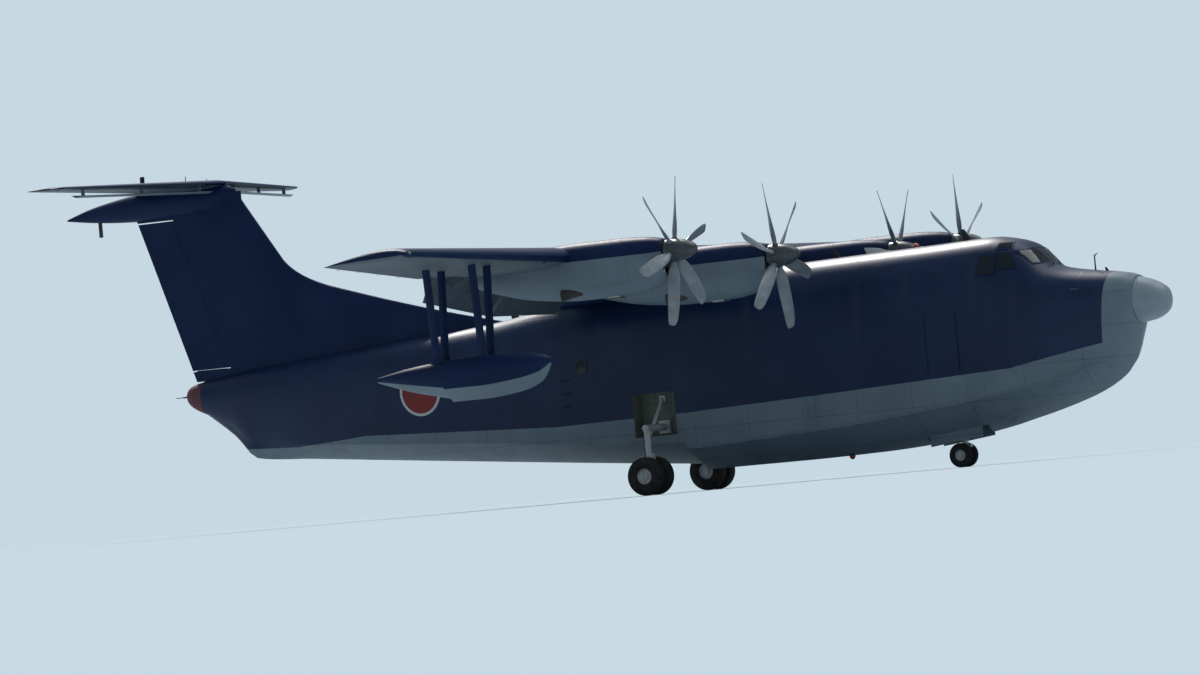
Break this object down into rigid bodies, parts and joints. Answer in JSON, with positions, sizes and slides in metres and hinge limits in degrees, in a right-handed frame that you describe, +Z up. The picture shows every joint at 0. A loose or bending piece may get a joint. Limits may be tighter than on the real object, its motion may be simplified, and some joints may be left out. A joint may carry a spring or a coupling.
{
  "type": "amphibious flying boat",
  "caption": "Large high-wing flying boat with turboprop engines, a stepped hull, wing floats, a T-tail and retractable wheels, standing on its landing gear with its flaps lowered.",
  "frame": {"origin": "on the ground, under the middle of the length and on the centre plane", "axes": "+X forward along the hull, +Y to port, +Z up"},
  "size_m": [33.25, 33.15, 10.11],
  "materials": {
    "hull_paint": "satin navy above, grey below the waterline",
    "wing_paint": "satin navy above, grey below",
    "underside_paint": "satin grey",
    "radome": "matt grey",
    "cockpit_glass": "dark gloss",
    "tail_end_paint": "matt dull red",
    "engine_metal": "cast",
    "propeller_paint": "satin dark grey",
    "gear_metal": "gloss light grey",
    "rim_metal": "gloss light grey",
    "tyre": "matt black"
  },
  "bodies": {
    "airframe": {"hull": "hull_paint", "radome": "radome", "cockpit_glass": "cockpit_glass", "tail_end": "tail_end_paint", "wing_centre": "wing_paint", "wing_outer_port": "wing_paint", "wing_outer_starboard": "wing_paint", "wing_saddle": "wing_paint", "nacelle_inner_port": "wing_paint", "nacelle_inner_starboard": "wing_paint", "nacelle_outer_port": "wing_paint", "nacelle_outer_starboard": "wing_paint", "engine_inner_port": "engine_metal", "engine_inner_starboard": "engine_metal", "engine_outer_port": "engine_metal", "engine_outer_starboard": "engine_metal", "fin": "wing_paint", "tailplane": "wing_paint", "tail_fairing": "wing_paint", "tailplane_slat_port": "underside_paint", "tailplane_slat_starboard": "underside_paint", "float_port": "hull_paint", "float_starboard": "hull_paint", "main_leg_port": "gear_metal", "main_leg_starboard": "gear_metal", "nose_leg": "gear_metal", "nose_bay_door_port": "underside_paint", "nose_bay_door_starboard": "underside_paint"},
    "propeller_inner_port": {"propeller_inner_port": "propeller_paint"},
    "propeller_inner_starboard": {"propeller_inner_starboard": "propeller_paint"},
    "propeller_outer_port": {"propeller_outer_port": "propeller_paint"},
    "propeller_outer_starboard": {"propeller_outer_starboard": "propeller_paint"},
    "flap_inner_port": {"flap_inner_port": "underside_paint"},
    "flap_inner_starboard": {"flap_inner_starboard": "underside_paint"},
    "flap_outer_port": {"flap_outer_port": "underside_paint"},
    "flap_outer_starboard": {"flap_outer_starboard": "underside_paint"},
    "aileron_port": {"aileron_port": "wing_paint"},
    "aileron_starboard": {"aileron_starboard": "wing_paint"},
    "elevator_port": {"elevator_port": "underside_paint"},
    "elevator_starboard": {"elevator_starboard": "underside_paint"},
    "rudder": {"rudder": "wing_paint"},
    "side_door": {"side_door": "hull_paint"},
    "main_wheels_port": {"main_axle_port": "rim_metal", "main_tyre_inner_port": "tyre", "main_tyre_outer_port": "tyre"},
    "main_wheels_starboard": {"main_axle_starboard": "rim_metal", "main_tyre_inner_starboard": "tyre", "main_tyre_outer_starboard": "tyre"},
    "nose_steering": {"nose_fork": "gear_metal"},
    "nose_wheels": {"nose_axle": "rim_metal", "nose_tyre_port": "tyre", "nose_tyre_starboard": "tyre"}
  },
  "joints": [
    {"name": "propeller_inner_port_spin", "type": "hinge", "parent": "airframe", "child": "propeller_inner_port", "pos_m": [7.255, 3.62, 5.9], "axis": [1, 0, 0], "continuous": true},
    {"name": "propeller_inner_starboard_spin", "type": "hinge", "parent": "airframe", "child": "propeller_inner_starboard", "pos_m": [7.255, -3.62, 5.9], "axis": [1, 0, 0], "continuous": true},
    {"name": "propeller_outer_port_spin", "type": "hinge", "parent": "airframe", "child": "propeller_outer_port", "pos_m": [6.845, 8.56, 6.12], "axis": [1, 0, 0], "continuous": true},
    {"name": "propeller_outer_starboard_spin", "type": "hinge", "parent": "airframe", "child": "propeller_outer_starboard", "pos_m": [6.845, -8.56, 6.12], "axis": [1, 0, 0], "continuous": true},
    {"name": "flap_inner_port_hinge", "type": "hinge", "parent": "airframe", "child": "flap_inner_port", "pos_m": [0.23246, 1.45, 5.55458], "axis": [0, 1, 0], "range_deg": [0, 50]},
    {"name": "flap_inner_starboard_hinge", "type": "hinge", "parent": "airframe", "child": "flap_inner_starboard", "pos_m": [0.23246, -1.45, 5.55458], "axis": [0, 1, 0], "range_deg": [0, 50]},
    {"name": "flap_outer_port_hinge", "type": "hinge", "parent": "airframe", "child": "flap_outer_port", "pos_m": [0.2493, 5.23, 5.56143], "axis": [0.1283, 0.9904, 0.0522], "range_deg": [0, 50]},
    {"name": "flap_outer_starboard_hinge", "type": "hinge", "parent": "airframe", "child": "flap_outer_starboard", "pos_m": [0.2493, -5.23, 5.56143], "axis": [-0.1283, 0.9904, -0.0522], "range_deg": [0, 50]},
    {"name": "aileron_port_hinge", "type": "hinge", "parent": "airframe", "child": "aileron_port", "pos_m": [1.17622, 10.08, 6.16872], "axis": [0.1112, 0.9933, 0.0325], "range_deg": [-20, 20]},
    {"name": "aileron_starboard_hinge", "type": "hinge", "parent": "airframe", "child": "aileron_starboard", "pos_m": [1.17622, -10.08, 6.16872], "axis": [-0.1112, 0.9933, -0.0325], "range_deg": [-20, 20]},
    {"name": "elevator_port_hinge", "type": "hinge", "parent": "airframe", "child": "elevator_port", "pos_m": [-13.475, 0.78, 9.67], "axis": [0, 1, 0], "range_deg": [-15, 25]},
    {"name": "elevator_starboard_hinge", "type": "hinge", "parent": "airframe", "child": "elevator_starboard", "pos_m": [-13.475, -0.78, 9.67], "axis": [0, 1, 0], "range_deg": [-15, 25]},
    {"name": "rudder_hinge", "type": "hinge", "parent": "airframe", "child": "rudder", "pos_m": [-11.775, 0, 4.74], "axis": [-0.324, 0, 0.9461], "range_deg": [-25, 25]},
    {"name": "side_door_hinge", "type": "hinge", "parent": "airframe", "child": "side_door", "pos_m": [-1.775, 1.21416, 3.1], "axis": [0, 0, -1], "range_deg": [0, 95]},
    {"name": "main_wheels_port_roll", "type": "hinge", "parent": "airframe", "child": "main_wheels_port", "pos_m": [2.025, 1.78, 0.508], "axis": [0, 1, 0], "continuous": true},
    {"name": "main_wheels_starboard_roll", "type": "hinge", "parent": "airframe", "child": "main_wheels_starboard", "pos_m": [2.025, -1.78, 0.508], "axis": [0, 1, 0], "continuous": true},
    {"name": "nose_steering_turn", "type": "hinge", "parent": "airframe", "child": "nose_steering", "pos_m": [10.415, 0, 0.6], "axis": [0, 0, 1], "range_deg": [-45, 45]},
    {"name": "nose_wheels_roll", "type": "hinge", "parent": "nose_steering", "child": "nose_wheels", "pos_m": [10.355, 0, 0.32], "axis": [0, 1, 0], "continuous": true}
  ],
  "couplings": [
    {"joint": "flap_inner_starboard_hinge", "follows": "flap_inner_port_hinge", "ratio": 1},
    {"joint": "flap_outer_port_hinge", "follows": "flap_inner_port_hinge", "ratio": 1},
    {"joint": "flap_outer_starboard_hinge", "follows": "flap_inner_port_hinge", "ratio": 1},
    {"joint": "aileron_starboard_hinge", "follows": "aileron_port_hinge", "ratio": -1},
    {"joint": "elevator_starboard_hinge", "follows": "elevator_port_hinge", "ratio": 1}
  ]
}
